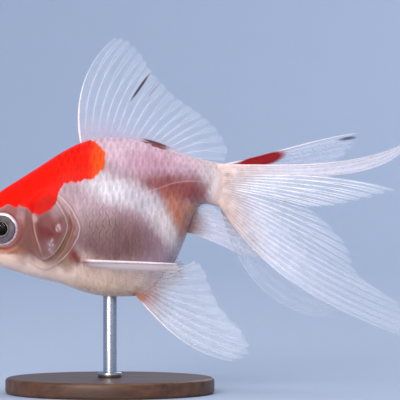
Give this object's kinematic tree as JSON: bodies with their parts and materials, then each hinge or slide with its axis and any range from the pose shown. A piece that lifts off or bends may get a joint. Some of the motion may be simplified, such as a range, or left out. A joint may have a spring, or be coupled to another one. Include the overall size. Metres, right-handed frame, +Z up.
{
  "type": "goldfish",
  "caption": "Still life-size model of a young ryukin goldfish with a high back, tall dorsal fin and long divided tail, held on a rod above an oval display base.",
  "frame": {"origin": "centre of the underside of the stand's base, which rests on the floor", "axes": "+Z up, -X the way the fish heads, -Y the fish's left side, +X towards the tail tips"},
  "size_m": [0.1003, 0.043, 0.0784],
  "materials": {
    "skin_red": "satin, wet-looking scaled skin, red",
    "skin_white": "satin, wet-looking scaled skin, pearl white to pink",
    "gill_brown": "satin, half-clear plate over dark red gills",
    "eye_silver": "polished, silver ring round a black pupil",
    "fin_clear": "clear milky membrane over white rays",
    "dark_wood": "satin dark walnut",
    "steel": "satin"
  },
  "bodies": {
    "root": {"mouth": "skin_white", "head": "skin_red", "gill_cover_left": "gill_brown", "gill_cover_right": "gill_brown", "eye_left": "eye_silver", "eye_right": "eye_silver", "trunk": "skin_white", "tail_root": "skin_white", "dorsal_fin": "fin_clear", "pectoral_fin_left": "fin_clear", "pectoral_fin_right": "fin_clear", "pelvic_fin_left": "fin_clear", "pelvic_fin_right": "fin_clear", "anal_fin_left": "fin_clear", "anal_fin_right": "fin_clear", "tail_left_top": "fin_clear", "tail_left_middle": "fin_clear", "tail_left_low": "fin_clear", "tail_right_top": "fin_clear", "tail_right_low": "fin_clear", "stand_base": "dark_wood", "stand_rod": "steel"}
  },
  "joints": []
}
